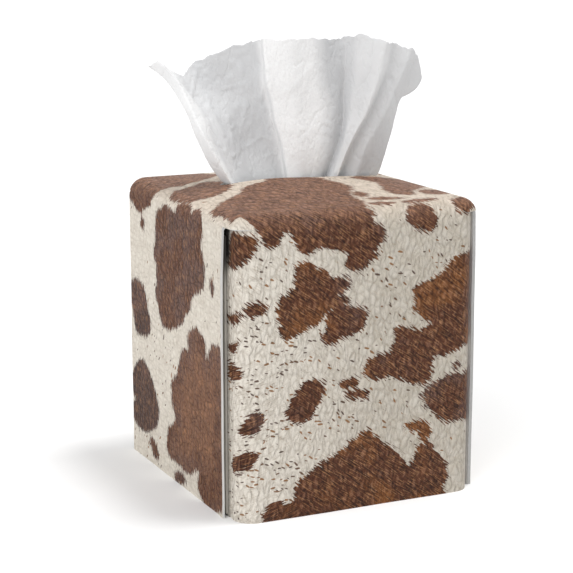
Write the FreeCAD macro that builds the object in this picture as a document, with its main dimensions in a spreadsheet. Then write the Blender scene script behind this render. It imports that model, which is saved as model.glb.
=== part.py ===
import FreeCAD, Part
import math
import operator
import os
from types import SimpleNamespace

import Sketcher
from FreeCAD import Placement, Rotation, Vector

# A slip-over cover for a cube carton of tissues, with the carton in it and a tissue standing out of the top.
# The cover stands on its rim. Origin: middle of the rim, on the surface. +X right, +Y back, +Z up.

DRIVING_SIZES = (
    # Cover, outside
    ("cover_width", 126),
    ("cover_depth", 136),
    ("cover_height", 140),
    ("top_crown", 5),
    ("top_edge_radius", 8.5),
    ("corner_extra", 1),
    ("top_skirt", 0.5),
    # Leather panels and the way the front and back ones tuck behind the sides
    ("skin_thickness", 1.8),
    ("raw_edge_setback", 7.2),
    ("slit_setback", 12.8),
    ("tab_overlap", 20),
    ("tape_thickness", 1),
    ("tape_margin", 1.5),
    # Layers behind the leather
    ("board_thickness", 2.5),
    ("board_gap", 0.6),
    ("lining_thickness", 1),
    ("lining_margin", 1.5),
    ("pad_edge_thickness", 1),
    # Slot in the top
    ("slot_end_land", 13.5),
    ("slot_clearance", 3.5),
    ("slot_end_flat", 1),
    ("layer_setback", 1.5),
    # Refill carton and its play inside the cover
    ("side_play", 0.7),
    ("front_play", 5.7),
    ("head_play", 6.7),
    ("carton_wall", 0.8),
    ("mouth_end_extra", 9),
    ("mouth_width", 42),
    ("mouth_radius", 16),
    ("film_thickness", 0.3),
    ("film_border", 6),
    ("slit_clearance", 1.5),
    ("slit_end_clearance", 4),
    ("stack_clearance", 1),
    ("stack_headroom", 9),
    # Tissue that stands out of the slot
    ("tail_end_clearance", 7),
    ("tail_half_depth", 3),
    ("tail_lift", 0.3),
    ("sheet_thickness", 1.2),
    ("fan_depth", 30),
    ("fan_height", 68),
    # Overrun of every cut
    ("cut_overrun", 2),
)

FAN_TURN_DEGREES = 25
MATCH_TOLERANCE = 1e-4

# The crown of the top, from its left end to its right end.
CROWN_PLACE_SHARES = (-1, -0.55, 0, 0.55, 1)
CROWN_HEIGHT_SHARES = (0.06, 0.84, 1, 0.84, 0.06)

# Folds of the tissue from left to right, as shares of the tail in the slot and of the fan above it.
TAIL_X_SHARES = (-0.98, -0.9, -0.8, -0.7, -0.55, -0.37, -0.16, 0.05, 0.33, 0.44, 0.52, 0.66, 0.84, 1)
TAIL_Y_SHARES = (0.5, -0.8, 0.8, -0.8, 0.8, -0.8, 0.7, -0.9, -0.6, 0.8, -0.8, -0.8, 0.6, -0.2)
MIDDLE_SHARES = (
    (-0.81, 0.37, 0.47),
    (-0.78, 0.27, 0.48),
    (-0.69, 0.37, 0.43),
    (-0.58, 0.27, 0.45),
    (-0.41, 0.30, 0.45),
    (-0.26, 0.17, 0.47),
    (-0.12, 0.20, 0.49),
    (0.01, -0.17, 0.49),
    (0.32, -0.07, 0.50),
    (0.43, 0.20, 0.48),
    (0.46, -0.13, 0.50),
    (0.61, -0.33, 0.50),
    (0.78, -0.17, 0.49),
    (0.90, -0.03, 0.47),
)
TOP_SHARES = (
    (-0.99, 0.83, 0.78),
    (-0.94, 0.73, 0.76),
    (-0.82, 0.67, 0.70),
    (-0.74, 0.77, 0.77),
    (-0.57, 0.43, 0.87),
    (-0.40, 0.33, 0.90),
    (-0.19, 0.30, 0.96),
    (-0.01, -0.23, 0.94),
    (0.23, -0.07, 0.95),
    (0.46, 0.27, 0.95),
    (0.49, -0.13, 0.99),
    (0.71, -0.53, 0.89),
    (0.90, -0.33, 0.83),
    (0.98, -0.13, 0.66),
)


def combine(symbol, apply):
    def method(left, right):
        if not isinstance(right, Size):
            right = Size(right, repr(right))
        return Size(apply(left.value, right.value), f"({left.text} {symbol} {right.text})")
    return method


class Size:
    """A length of the sheet, or a sum of such lengths, as a number and as a formula."""

    def __init__(self, value, text):
        self.value = value
        self.text = text

    __add__ = combine("+", operator.add)
    __sub__ = combine("-", operator.sub)
    __mul__ = combine("*", operator.mul)
    __truediv__ = combine("/", operator.truediv)

    def __neg__(self):
        return Size(-self.value, f"(0 - {self.text})")

    def at_most(self, limit):
        return Size(min(self.value, limit.value), f"min({self.text}; {limit.text})")


ZERO = Size(0, "0")

doc = FreeCAD.newDocument("tissue_box_cover")
sheet = doc.addObject("Spreadsheet::Sheet", "Sizes")
for row, (alias, number) in enumerate(DRIVING_SIZES, 1):
    sheet.set(f"A{row}", alias)
    sheet.set(f"B{row}", str(number))
    sheet.setAlias(f"B{row}", alias)
doc.recompute()
size = SimpleNamespace(**{
    alias: Size(float(sheet.get(alias)), f"Sizes.{alias}") for alias, number in DRIVING_SIZES
})

# Places that several pieces share.
corner_radius = size.top_edge_radius + size.corner_extra
half_width = size.cover_width / 2
half_depth = size.cover_depth / 2
wall_top = size.cover_height - size.top_edge_radius - size.top_skirt
side_face = half_width - size.skin_thickness
front_face = half_depth - size.skin_thickness
tab_plane = side_face - size.tape_thickness
wrap_centre_x = tab_plane - corner_radius
wrap_centre_y = half_depth - corner_radius
raw_edge = half_depth - size.raw_edge_setback
slit_edge = half_depth - size.slit_setback
tab_end = raw_edge - size.tab_overlap
crown_half_x = half_width - corner_radius
crown_half_y = half_depth - corner_radius
pad_top = size.cover_height - size.skin_thickness
board_top = pad_top - size.pad_edge_thickness
lining_top = board_top - size.board_thickness
lining_bottom = lining_top - size.lining_thickness
slot_half_length = crown_half_x - size.slot_end_land
slot_half_width = size.tail_half_depth + size.slot_clearance
slot_radius = slot_half_width - size.slot_end_flat
tail_half_length = slot_half_length - size.tail_end_clearance
wall_layers_depth = size.board_thickness + size.lining_thickness
carton_half_x = side_face - wall_layers_depth - size.side_play
carton_half_y = front_face - wall_layers_depth - size.front_play
carton_height = lining_bottom - size.head_play
carton_ceiling = carton_height - size.carton_wall
mouth_half_x = slot_half_length + size.mouth_end_extra
mouth_half_y = size.mouth_width / 2
stack_top = carton_ceiling - size.stack_headroom

nodes = []


def bind(item, field, length):
    item.setExpression(field, length.text)


def keep(item):
    nodes.append(item)
    return item


# Blocks and booleans

def block(name, low, high):
    """Block between its lowest and highest corners."""
    piece = doc.addObject("Part::Box", name)
    for axis, side, start, end in zip("xyz", ("Length", "Width", "Height"), low, high):
        bind(piece, side, end - start)
        bind(piece, f"Placement.Base.{axis}", start)
    return piece


def cut(name, base, tool):
    piece = doc.addObject("Part::Cut", name)
    piece.Base = base
    piece.Tool = tool
    return piece


def fuse(name, pieces):
    piece = doc.addObject("Part::MultiFuse", name)
    piece.Shapes = pieces
    piece.Refine = True
    return piece


# Bodies and sketches

def sketch_on(body, name, role, offset):
    sketch = body.newObject("Sketcher::SketchObject", name)
    plane = next(item for item in body.Origin.OriginFeatures if item.Role == role)
    sketch.AttachmentSupport = [(plane, "")]
    sketch.MapMode = "FlatFace"
    bind(sketch, "AttachmentOffset.Base.z", offset)
    return sketch


def dimension(sketch, length, *constraint):
    index = sketch.addConstraint(Sketcher.Constraint(*constraint, length.value))
    sketch.setExpression(f"Constraints[{index}]", length.text)


def rounded_outline(sketch, half_x, half_y, radius):
    """Rectangle about the sketch's origin with rounded corners."""
    centre_x = half_x - radius
    centre_y = half_y - radius
    quarter = math.pi / 2
    arcs = []
    for turn, (side_x, side_y) in enumerate(((1, 1), (-1, 1), (-1, -1), (1, -1))):
        centre = Vector(side_x * centre_x.value, side_y * centre_y.value, 0)
        circle = Part.Circle(centre, Vector(0, 0, 1), radius.value)
        arcs.append(sketch.addGeometry(Part.ArcOfCircle(circle, turn * quarter, (turn + 1) * quarter)))
    for turn, arc in enumerate(arcs):
        following = arcs[(turn + 1) % len(arcs)]
        ends = sketch.Geometry[arc].EndPoint, sketch.Geometry[following].StartPoint
        line = sketch.addGeometry(Part.LineSegment(*ends))
        sketch.addConstraint(Sketcher.Constraint("Tangent", arc, 2, line, 1))
        sketch.addConstraint(Sketcher.Constraint("Tangent", line, 2, following, 1))
        sketch.addConstraint(Sketcher.Constraint("Vertical" if turn % 2 else "Horizontal", line))
    for arc in arcs[1:]:
        sketch.addConstraint(Sketcher.Constraint("Equal", arcs[0], arc))
    sketch.addConstraint(Sketcher.Constraint("Symmetric", arcs[0], 3, arcs[2], 3, -1, 1))
    dimension(sketch, radius, "Radius", arcs[0])
    dimension(sketch, centre_x * 2, "DistanceX", arcs[1], 3, arcs[0], 3)
    dimension(sketch, centre_y * 2, "DistanceY", arcs[3], 3, arcs[0], 3)


def pad(body, name, half_x, half_y, radius, bottom, height):
    sketch = sketch_on(body, f"{name}_outline", "XY_Plane", bottom)
    rounded_outline(sketch, half_x, half_y, radius)
    feature = body.newObject("PartDesign::Pad", name)
    feature.Profile = sketch
    bind(feature, "Length", height)
    doc.recompute()
    return feature


def round_edges_at(body, name, base, level, radius):
    edges = [
        f"Edge{number}" for number, edge in enumerate(base.Shape.Edges, 1)
        if abs(edge.BoundBox.ZMin - level.value) < MATCH_TOLERANCE
        and abs(edge.BoundBox.ZMax - level.value) < MATCH_TOLERANCE
    ]
    feature = body.newObject("PartDesign::Fillet", name)
    feature.Base = (base, edges)
    bind(feature, "Radius", radius)
    doc.recompute()
    return feature


def crown(body, name, level):
    """Shallow pillow on a flat base at the given level, through arches from left to right."""
    arches = []
    for number, (place_share, height_share) in enumerate(zip(CROWN_PLACE_SHARES, CROWN_HEIGHT_SHARES)):
        rise = size.top_crown * height_share
        radius = (crown_half_y * crown_half_y + rise * rise) / (rise * 2)
        half_angle = math.asin(crown_half_y.value / radius.value)
        sketch = sketch_on(body, f"{name}_arch_{number}", "YZ_Plane", crown_half_x * place_share)
        start = Vector(-crown_half_y.value, level.value, 0)
        end = Vector(crown_half_y.value, level.value, 0)
        centre = Vector(0, level.value + rise.value - radius.value, 0)
        circle = Part.Circle(centre, Vector(0, 0, 1), radius.value)
        upright = math.pi / 2
        chord = sketch.addGeometry(Part.LineSegment(start, end))
        arch = sketch.addGeometry(Part.ArcOfCircle(circle, upright - half_angle, upright + half_angle))
        sketch.addConstraint(Sketcher.Constraint("Coincident", chord, 2, arch, 1))
        sketch.addConstraint(Sketcher.Constraint("Coincident", arch, 2, chord, 1))
        sketch.addConstraint(Sketcher.Constraint("Symmetric", chord, 1, chord, 2, -2))
        dimension(sketch, crown_half_y * 2, "DistanceX", chord, 1, chord, 2)
        dimension(sketch, level, "DistanceY", -1, 1, chord, 1)
        dimension(sketch, radius, "Radius", arch)
        arches.append(sketch)
    doc.recompute()
    feature = body.newObject("PartDesign::AdditiveLoft", name)
    feature.Profile = arches[0]
    feature.Sections = arches[1:]
    doc.recompute()
    return feature


# Leather panels

def crowned_block(name, half_x, half_y, radius, bottom, top, edge_radius):
    body = doc.addObject("PartDesign::Body", name)
    solid = pad(body, f"{name}_block", half_x, half_y, radius, bottom, top - bottom)
    round_edges_at(body, f"{name}_edges", solid, top, edge_radius)
    crown(body, f"{name}_crown", top)
    return body


def slot_prism(name, setback):
    body = doc.addObject("PartDesign::Body", name)
    bottom = lining_bottom - size.cut_overrun
    top = size.cover_height + size.top_crown + size.cut_overrun
    pad(
        body, f"{name}_block", slot_half_length + setback, slot_half_width + setback, slot_radius + setback,
        bottom, top - bottom
    )
    return body


def top_panel():
    outside = crowned_block(
        "top_outside", half_width, half_depth, corner_radius, wall_top, size.cover_height,
        size.top_edge_radius
    )
    inside = crowned_block(
        "top_inside", side_face, front_face, corner_radius - size.skin_thickness,
        wall_top - size.cut_overrun, pad_top, size.top_edge_radius - size.skin_thickness
    )
    keep(cut("top_panel", cut("top_shell", outside, inside), slot_prism("panel_slot", ZERO)))


def wrapped_panel(name, side):
    """Front or back panel: a flat wall that turns both corners and ends in tabs behind the side panels."""
    def along(near, far):
        return (near, far) if side > 0 else (-far, -near)

    y_low, y_high = along(front_face, half_depth)
    pieces = [block(f"{name}_wall", (-wrap_centre_x, y_low, ZERO), (wrap_centre_x, y_high, wall_top))]
    for hand in (-1, 1):
        title = f"{name}_{'left' if hand < 0 else 'right'}"
        rings = []
        for ring_name, radius in (("outer", corner_radius), ("inner", corner_radius - size.skin_thickness)):
            ring = doc.addObject("Part::Cylinder", f"{title}_{ring_name}")
            ring.Angle = 90
            bind(ring, "Radius", radius)
            bind(ring, "Height", wall_top)
            quarter_turn = {(1, 1): 0, (-1, 1): 90, (-1, -1): 180, (1, -1): 270}[hand, side]
            ring.Placement = Placement(Vector(0, 0, 0), Rotation(Vector(0, 0, 1), quarter_turn))
            bind(ring, "Placement.Base.x", wrap_centre_x * hand)
            bind(ring, "Placement.Base.y", wrap_centre_y * side)
            rings.append(ring)
        pieces.append(cut(f"{title}_turn", *rings))
        tab_low, tab_high = along(tab_end, wrap_centre_y)
        inside = tab_plane - size.skin_thickness
        x_low, x_high = (inside, tab_plane) if hand > 0 else (-tab_plane, -inside)
        pieces.append(block(f"{title}_tab", (x_low, tab_low, ZERO), (x_high, tab_high, wall_top)))
    keep(fuse(name, pieces))


def side_panel(name, hand, front_edge):
    x_low, x_high = (side_face, half_width) if hand > 0 else (-half_width, -side_face)
    keep(block(name, (x_low, -front_edge, ZERO), (x_high, raw_edge, wall_top)))


def corner_tape(name, hand, side, panel_edge):
    """Strip between a side panel and the tab that is tucked behind it."""
    x_low, x_high = (tab_plane, side_face) if hand > 0 else (-side_face, -tab_plane)
    near = tab_end + size.tape_margin
    far = panel_edge.at_most(wrap_centre_y) - size.tape_margin
    y_low, y_high = (near, far) if side > 0 else (-far, -near)
    keep(block(name, (x_low, y_low, size.tape_margin), (x_high, y_high, wall_top - size.tape_margin)))


# Layers behind the leather

def top_padding():
    slab = doc.addObject("PartDesign::Body", "pad_blank")
    pad(
        slab, "pad_slab", crown_half_x, crown_half_y, size.pad_edge_thickness, board_top,
        size.pad_edge_thickness
    )
    crown(slab, "pad_crown", pad_top)
    keep(cut("top_pad", slab, slot_prism("pad_slot", size.layer_setback)))


def slotted_plate(name, half_x, half_y, radius, bottom, thickness, setback):
    blank = doc.addObject("PartDesign::Body", f"{name}_blank")
    pad(blank, f"{name}_slab", half_x, half_y, radius, bottom, thickness)
    keep(cut(name, blank, slot_prism(f"{name}_slot", setback)))


def wall_layers(wall, axis, direction):
    """Board behind one wall of leather, and the lining on it."""
    face = side_face if axis == "x" else front_face
    half_run = tab_end if axis == "x" else wrap_centre_x
    board_inside = face - size.board_thickness
    lining_inside = board_inside - size.lining_thickness
    layers = (
        ("board", board_inside, face, half_run - size.board_gap, ZERO, wall_top - size.board_gap),
        ("lining", lining_inside, board_inside, half_run - size.board_gap - size.lining_margin,
         size.lining_margin, wall_top - size.board_gap - size.lining_margin),
    )
    for layer, inner, outer, half_span, bottom, top in layers:
        near, far = (inner, outer) if direction > 0 else (-outer, -inner)
        if axis == "x":
            low, high = (near, -half_span, bottom), (far, half_span, top)
        else:
            low, high = (-half_span, near, bottom), (half_span, far, top)
        keep(block(f"{wall}_{layer}", low, high))


# Refill

def carton():
    outside = block(
        "carton_outside", (-carton_half_x, -carton_half_y, ZERO),
        (carton_half_x, carton_half_y, carton_height)
    )
    inside_x = carton_half_x - size.carton_wall
    inside_y = carton_half_y - size.carton_wall
    inside = block(
        "carton_inside", (-inside_x, -inside_y, size.carton_wall), (inside_x, inside_y, carton_ceiling)
    )
    mouth = doc.addObject("PartDesign::Body", "carton_mouth")
    pad(
        mouth, "mouth_prism", mouth_half_x, mouth_half_y, size.mouth_radius,
        carton_ceiling - size.cut_overrun, size.carton_wall + size.cut_overrun * 2
    )
    keep(cut("carton", cut("carton_shell", outside, inside), mouth))


def dispenser_film():
    half_x = mouth_half_x + size.film_border
    half_y = mouth_half_y + size.film_border
    bottom = carton_ceiling - size.film_thickness
    plate = block("film_plate", (-half_x, -half_y, bottom), (half_x, half_y, carton_ceiling))
    slit_x = tail_half_length + size.slit_end_clearance
    slit_y = size.tail_half_depth + size.slit_clearance
    slit = block(
        "film_slit", (-slit_x, -slit_y, bottom - size.cut_overrun),
        (slit_x, slit_y, carton_ceiling + size.cut_overrun)
    )
    keep(cut("dispenser_film", plate, slit))


def tissue_stack():
    half_x = carton_half_x - size.carton_wall - size.stack_clearance
    half_y = carton_half_y - size.carton_wall - size.stack_clearance
    keep(block("tissue_stack", (-half_x, -half_y, size.carton_wall), (half_x, half_y, stack_top)))


def tissue_sheet():
    """Pleated sheet: a tail through the slot, opening into a fan above it."""
    def fan_points(shares):
        base = size.cover_height.value + size.top_crown.value
        return [
            Vector(half_width.value * x, size.fan_depth.value * y, base + size.fan_height.value * z)
            for x, y, z in shares
        ]

    def tail_points(level):
        return [
            Vector(tail_half_length.value * x, size.tail_half_depth.value * y, level)
            for x, y in zip(TAIL_X_SHARES, TAIL_Y_SHARES)
        ]

    turn = math.radians(FAN_TURN_DEGREES)
    facing = Vector(-math.sin(turn), -math.cos(turn), 0) * (size.sheet_thickness.value / 2)
    levels = [
        tail_points(stack_top.value + size.tail_lift.value),
        tail_points(size.cover_height.value + size.top_crown.value),
        fan_points(MIDDLE_SHARES),
        fan_points(TOP_SHARES),
    ]
    fronts = [[point + facing for point in level] for level in levels]
    backs = [[point - facing for point in level] for level in levels]

    def ruled(first, second):
        lines = zip(zip(first, first[1:]), zip(second, second[1:]))
        return [Part.makeRuledSurface(Part.makeLine(*a), Part.makeLine(*b)) for a, b in lines]

    faces = ruled(fronts[0], backs[0]) + ruled(fronts[-1], backs[-1])
    rings = [front + back[::-1] + front[:1] for front, back in zip(fronts, backs)]
    for lower, upper in zip(rings, rings[1:]):
        faces += ruled(lower, upper)
    shell = Part.Shell(faces)
    shell.sewShape()
    solid = Part.Solid(shell)
    if solid.Volume < 0:
        solid.reverse()
    sheet_of_paper = keep(doc.addObject("Part::Feature", "tissue_sheet"))
    sheet_of_paper.Shape = solid


top_panel()
wrapped_panel("front_panel", -1)
wrapped_panel("back_panel", 1)
side_panel("left_panel", -1, slit_edge)
side_panel("right_panel", 1, raw_edge)
corner_tape("front_left_tape", -1, -1, slit_edge)
corner_tape("front_right_tape", 1, -1, raw_edge)
corner_tape("back_left_tape", -1, 1, raw_edge)
corner_tape("back_right_tape", 1, 1, raw_edge)
top_padding()
slotted_plate(
    "top_board", crown_half_x, crown_half_y, size.board_thickness, lining_top, size.board_thickness,
    size.layer_setback
)
slotted_plate(
    "top_lining", crown_half_x - size.lining_margin, crown_half_y - size.lining_margin, size.board_thickness,
    lining_bottom, size.lining_thickness, ZERO
)
wall_layers("front", "y", -1)
wall_layers("back", "y", 1)
wall_layers("left", "x", -1)
wall_layers("right", "x", 1)
carton()
dispenser_film()
tissue_stack()
tissue_sheet()

doc.recompute()
for item in doc.Objects:
    if {"Invalid", "Error"} & set(item.State):
        raise RuntimeError(f"{item.Label} failed: {item.State}")
for node in nodes:
    if node.Shape.isNull() or not node.Shape.isValid() or node.Shape.Volume <= 0:
        raise RuntimeError(f"{node.Label} has no sound shape")
os.makedirs("parts", exist_ok=True)
for node in nodes:
    node.Shape.exportStep(f"parts/{node.Label}.step")
    box = node.Shape.BoundBox
    print(f"{node.Label}: {len(node.Shape.Solids)} solid, {node.Shape.Volume:.0f} mm3, "
          f"x {box.XMin:.1f} to {box.XMax:.1f}, y {box.YMin:.1f} to {box.YMax:.1f}, "
          f"z {box.ZMin:.1f} to {box.ZMax:.1f}")
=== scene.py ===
import math

import bpy
import numpy as np
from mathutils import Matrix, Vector, noise


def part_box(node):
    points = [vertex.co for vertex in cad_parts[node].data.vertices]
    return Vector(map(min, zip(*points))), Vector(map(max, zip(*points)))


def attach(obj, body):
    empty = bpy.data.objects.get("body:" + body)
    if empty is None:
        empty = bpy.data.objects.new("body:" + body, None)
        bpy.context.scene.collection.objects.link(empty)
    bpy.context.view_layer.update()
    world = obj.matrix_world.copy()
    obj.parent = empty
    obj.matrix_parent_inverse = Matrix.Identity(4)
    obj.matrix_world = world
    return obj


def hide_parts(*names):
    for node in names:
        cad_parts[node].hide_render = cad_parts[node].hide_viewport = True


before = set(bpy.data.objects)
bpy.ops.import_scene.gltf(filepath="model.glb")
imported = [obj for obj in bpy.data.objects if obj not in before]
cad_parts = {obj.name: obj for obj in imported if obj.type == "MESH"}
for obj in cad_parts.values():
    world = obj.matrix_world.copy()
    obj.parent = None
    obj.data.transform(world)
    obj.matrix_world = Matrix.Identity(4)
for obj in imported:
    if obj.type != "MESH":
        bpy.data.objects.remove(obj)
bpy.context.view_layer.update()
mm = 0.001
tiny = 0.01                   # mm within which two places count as one


def pickOnly(piece):
    bpy.ops.object.select_all(action="DESELECT")
    piece.select_set(True)
    bpy.context.view_layer.objects.active = piece


def addPrimitive(name, make, **settings):
    bpy.ops.object.select_all(action="DESELECT")
    make(**settings)
    piece = bpy.context.active_object
    piece.name = name
    piece.data.name = name
    return piece


def editMesh(piece, *steps):
    # each step is an operator with its settings, run in edit mode on what is selected
    pickOnly(piece)
    bpy.ops.object.mode_set(mode="EDIT")
    for operator, settings in steps:
        operator(**settings)
    bpy.ops.object.mode_set(mode="OBJECT")


def selectParts(piece, parts, wanted):
    # parts is "vertices", "edges" or "polygons"; wanted is a list of flags
    kinds = ("vertices", "edges", "polygons")
    for kind in kinds:
        items = getattr(piece.data, kind)
        items.foreach_set("select", np.asarray(wanted, bool) if kind == parts else np.zeros(len(items), bool))
    bpy.context.tool_settings.mesh_select_mode = [kind == parts for kind in kinds]


def applyModifier(piece, kind, **settings):
    pickOnly(piece)
    modifier = piece.modifiers.new(kind, kind)
    for key, value in settings.items():
        setattr(modifier, key, value)
    bpy.ops.object.modifier_apply(modifier=modifier.name)


def smoothShade(piece, degrees):
    pickOnly(piece)
    bpy.ops.object.shade_smooth_by_angle(angle=math.radians(degrees))


def readValues(items, key, width, kind=float):
    values = np.empty(len(items) * width, kind)
    items.foreach_get(key, values)
    return values.reshape(-1, width)


def readPlaces(piece):
    return readValues(piece.data.vertices, "co", 3)


def writePlaces(piece, places):
    piece.data.vertices.foreach_set("co", np.asarray(places, float).ravel())
    piece.data.update()


def writeValues(piece, name, values):
    attribute = piece.data.attributes.new(name, "FLOAT", "POINT")
    attribute.data.foreach_set("value", values.astype(np.float32))


def giveMaterial(piece, *materials):
    piece.data.materials.clear()
    for material in materials:
        piece.data.materials.append(material)


def newMaterial(name):
    material = bpy.data.materials.new(name)
    material.use_nodes = True
    tree = material.node_tree
    return material, tree, tree.nodes["Principled BSDF"]


def fillSockets(tree, node, sockets):
    for key, value in sockets.items():
        if isinstance(value, bpy.types.NodeSocket):
            tree.links.new(value, node.inputs[key])
        else:
            node.inputs[key].default_value = value


def addNode(tree, kind, sockets=None, **settings):
    node = tree.nodes.new(kind)
    for key, value in settings.items():
        setattr(node, key, value)
    fillSockets(tree, node, sockets or {})
    return node


def calc(tree, operation, *values, clamp=False):
    node = addNode(tree, "ShaderNodeMath", dict(enumerate(values)), operation=operation, use_clamp=clamp)
    return node.outputs[0]


def times(tree, first, second):
    return calc(tree, "MULTIPLY", first, second)


def scaled(tree, value, factor, plus):
    return calc(tree, "MULTIPLY_ADD", value, factor, plus)


def offMiddle(tree, value):
    # how far a pattern is from its middle level
    return calc(tree, "SUBTRACT", value, 0.5)


def spread(tree, value, low, high, smooth=True):
    # 0 below low, 1 above high
    sockets = {"Value": value, "From Min": low, "From Max": high}
    kind = "SMOOTHSTEP" if smooth else "LINEAR"
    return addNode(tree, "ShaderNodeMapRange", sockets, interpolation_type=kind).outputs["Result"]


def srgb(*levels):
    def line(level):
        level = level / 255
        return level / 12.92 if level <= 0.04045 else ((level + 0.055) / 1.055) ** 2.4
    return (*map(line, levels), 1.0)


def mixColour(tree, amount, first, second, blend="MIX"):
    # a plain colour is its red, green and blue from 0 to 255
    first, second = (srgb(*colour) if isinstance(colour, tuple) else colour for colour in (first, second))
    sockets = {"Factor": amount, 6: first, 7: second}
    return addNode(tree, "ShaderNodeMix", sockets, data_type="RGBA", blend_type=blend).outputs[2]


def tinted(tree, colour, value, low, high, second):
    # turns to the second colour as the value goes from low to high
    return mixColour(tree, spread(tree, value, low, high), colour, second)


def stretched(tree, vector, turn, lengths):
    # a pattern read through this is that many times longer along the turned axes
    sockets = {"Vector": vector, "Rotation": (0, 0, math.radians(turn)), "Scale": lengths}
    return addNode(tree, "ShaderNodeMapping", sockets, vector_type="TEXTURE").outputs[0]


def noiseOf(tree, vector, scale, detail=2.0, roughness=0.5, flat=False):
    sockets = {"Vector": vector, "Scale": scale, "Detail": detail, "Roughness": roughness}
    return addNode(tree, "ShaderNodeTexNoise", sockets, noise_dimensions="2D" if flat else "3D").outputs[0]


def cellsOf(tree, vector, scale, feature="F1", randomness=1.0, flat=False):
    sockets = {"Vector": vector, "Scale": scale, "Randomness": randomness}
    shape = "2D" if flat else "3D"
    return addNode(tree, "ShaderNodeTexVoronoi", sockets, voronoi_dimensions=shape, feature=feature)


def axesOf(tree, vector):
    return addNode(tree, "ShaderNodeSeparateXYZ", {"Vector": vector}).outputs


def attributeOf(tree, name):
    return addNode(tree, "ShaderNodeAttribute", attribute_name=name).outputs["Fac"]


def inMillimetres(tree):
    place = addNode(tree, "ShaderNodeTexCoord").outputs["Object"]
    return addNode(tree, "ShaderNodeMapping", {"Vector": place, "Scale": (1000, 1000, 1000)}).outputs[0]


def dress(tree, shader, colour, height, strength, distance, roughness, **others):
    # colour, bump in metres and gloss of a finish; the others are named for their sockets
    bump = addNode(tree, "ShaderNodeBump", {"Height": height, "Strength": strength, "Distance": distance})
    fillSockets(tree, shader, {"Base Color": colour, "Roughness": roughness, "Normal": bump.outputs["Normal"]})
    names = {"specular": "Specular IOR Level", "sheen": "Sheen Weight", "alpha": "Alpha"}
    fillSockets(tree, shader, {names[key]: value for key, value in others.items()})


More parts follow.
